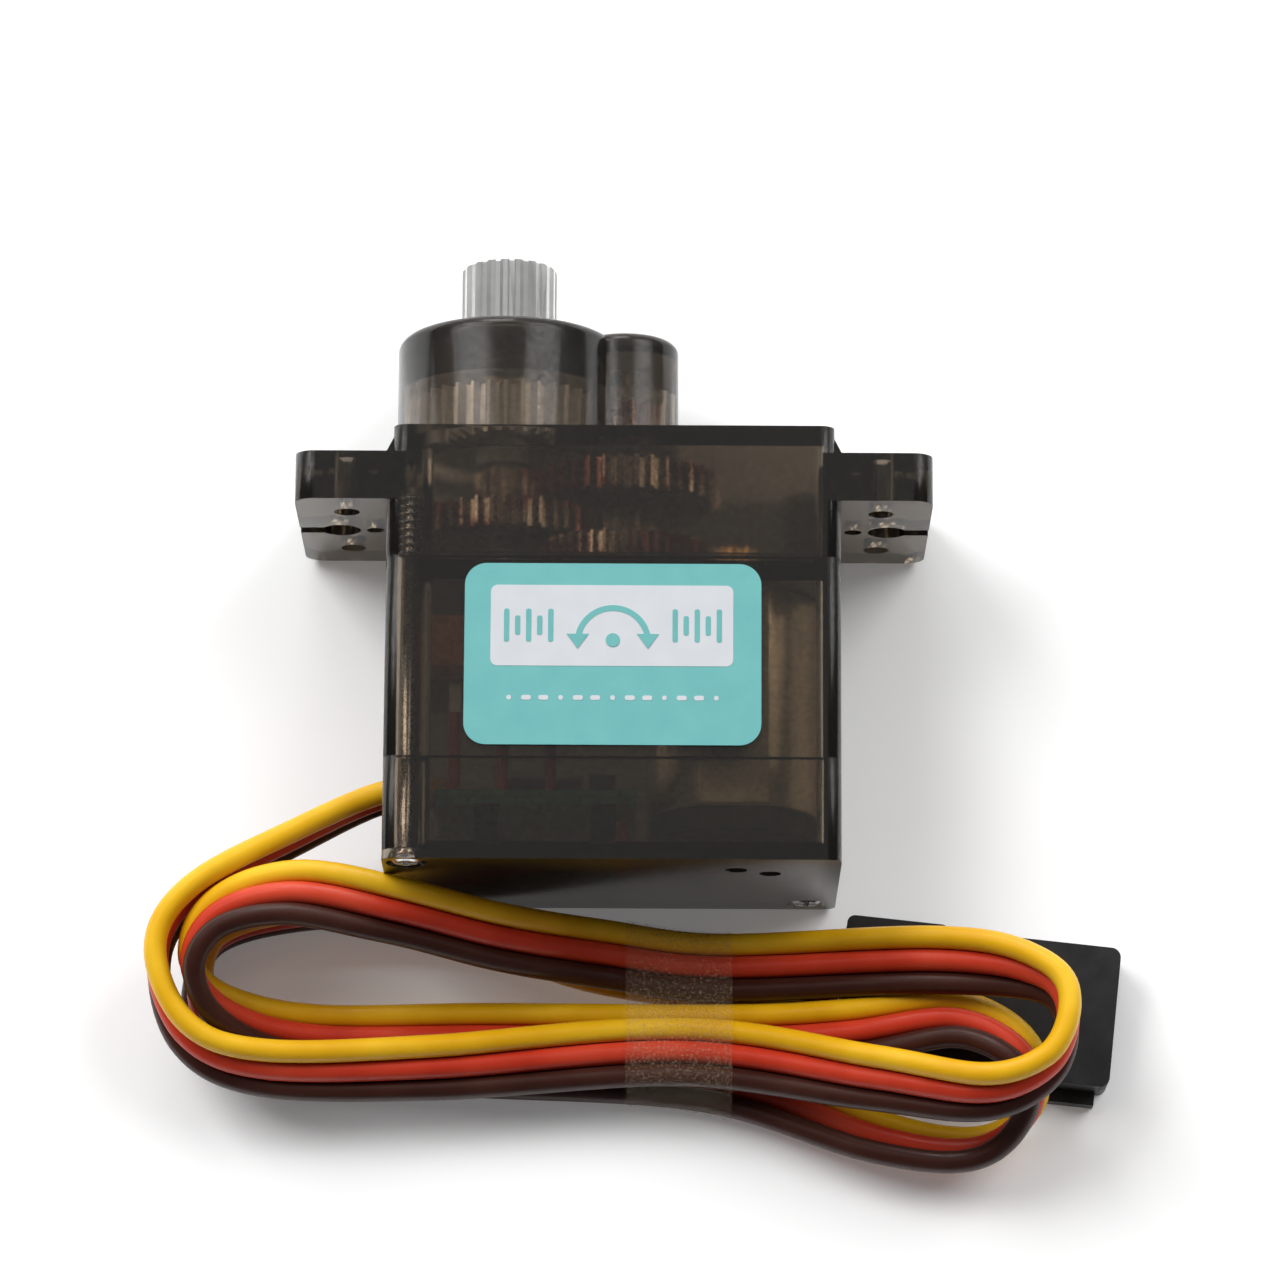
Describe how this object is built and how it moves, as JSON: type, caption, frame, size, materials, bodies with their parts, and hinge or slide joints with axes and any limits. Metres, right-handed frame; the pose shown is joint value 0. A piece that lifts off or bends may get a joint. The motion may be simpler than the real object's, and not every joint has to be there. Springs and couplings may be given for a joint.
{
  "type": "servo motor",
  "caption": "Small geared position servo in a smoke-tinted plastic case with mounting ears, a splined metal output and a flat three-wire lead with a plug.",
  "frame": {"origin": "middle of the case's box, on the surface that its broad back face lies on", "axes": "+Y along the output shaft towards the spline, +X across the case towards the motor end, +Z out of the label face"},
  "size_m": [0.0493, 0.0463, 0.0123],
  "materials": {
    "case_plastic": "polished translucent smoke tint",
    "label_print": "printed film",
    "screw_steel": "zinc plated",
    "shaft_steel": "ground steel",
    "output_metal": "cut and plated",
    "gear_brass": "machined",
    "can_steel": "drawn and plated",
    "black_plastic": "moulded",
    "core_steel": "stacked laminations",
    "copper": "bare and enamelled copper",
    "insulator_plastic": "moulded",
    "magnet": "sintered ferrite",
    "bearing_brass": "sintered",
    "spring_brass": "stamped strip",
    "tinned_metal": "tin plated",
    "pot_body": "moulded",
    "pot_laminate": "punched laminate",
    "resistive_ink": "printed",
    "board": "solder mask",
    "chip_body": "moulded",
    "capacitor": "fired ceramic",
    "wire_red": "extruded",
    "wire_yellow": "extruded",
    "wire_brown": "extruded",
    "solder": "bright",
    "clear_tape": "clear film",
    "plug_plastic": "moulded",
    "contact_gold": "flash plated"
  },
  "bodies": {
    "case": {"top_case": "case_plastic", "middle_case": "case_plastic", "bottom_cover": "case_plastic", "case_screws": "screw_steel", "label": "label_print", "gear_axle": "shaft_steel", "motor_can": "can_steel", "motor_end_cap": "black_plastic", "motor_magnets": "magnet", "motor_bushing": "bearing_brass", "rear_bushing": "bearing_brass", "motor_brushes": "spring_brass", "motor_terminals": "tinned_metal", "pot_housing": "pot_body", "pot_wafer": "pot_laminate", "pot_track": "resistive_ink", "pot_terminals": "tinned_metal", "circuit_board": "board", "control_chip": "chip_body", "driver_transistors": "chip_body", "chip_capacitors": "capacitor", "motor_leads": "wire_red", "pot_leads": "wire_red", "lead_ends": "solder", "cable": "wire_red", "cable_tape": "clear_tape", "plug_housing": "plug_plastic", "plug_contacts": "contact_gold"},
    "motor_rotor": {"motor_shaft": "shaft_steel", "motor_pinion": "gear_brass", "motor_core": "core_steel", "motor_windings": "copper", "motor_insulator": "insulator_plastic", "commutator": "copper"},
    "first_gear": {"first_gear": "gear_brass"},
    "second_gear": {"second_gear": "gear_brass"},
    "third_gear": {"third_gear": "gear_brass"},
    "output_shaft": {"output_gear": "output_metal", "pot_shaft": "shaft_steel", "pot_wiper": "spring_brass"}
  },
  "joints": [
    {"name": "motor_spin", "type": "hinge", "parent": "case", "child": "motor_rotor", "pos_m": [0.0061, 0, 0.0061], "axis": [0, 1, 0], "range_deg": [-14052, 14052]},
    {"name": "first_gear_spin", "type": "hinge", "parent": "case", "child": "first_gear", "pos_m": [0.0005, 0.001, 0.0061], "axis": [0, 1, 0], "range_deg": [-3055, 3055]},
    {"name": "second_gear_spin", "type": "hinge", "parent": "case", "child": "second_gear", "pos_m": [-0.0055, 0.003, 0.0061], "axis": [0, 1, 0], "range_deg": [-908.4, 908.4]},
    {"name": "third_gear_spin", "type": "hinge", "parent": "case", "child": "third_gear", "pos_m": [0.0005, 0.005, 0.0061], "axis": [0, 1, 0], "range_deg": [-270.2, 270.2]},
    {"name": "output_turn", "type": "hinge", "parent": "case", "child": "output_shaft", "pos_m": [-0.0055, 0.012, 0.0061], "axis": [0, 1, 0], "range_deg": [-90.1, 90.1]}
  ],
  "couplings": [
    {"joint": "first_gear_spin", "follows": "motor_spin", "ratio": -0.21739},
    {"joint": "second_gear_spin", "follows": "motor_spin", "ratio": 0.06463},
    {"joint": "third_gear_spin", "follows": "motor_spin", "ratio": -0.019214},
    {"joint": "output_turn", "follows": "motor_spin", "ratio": 0.0064048}
  ]
}
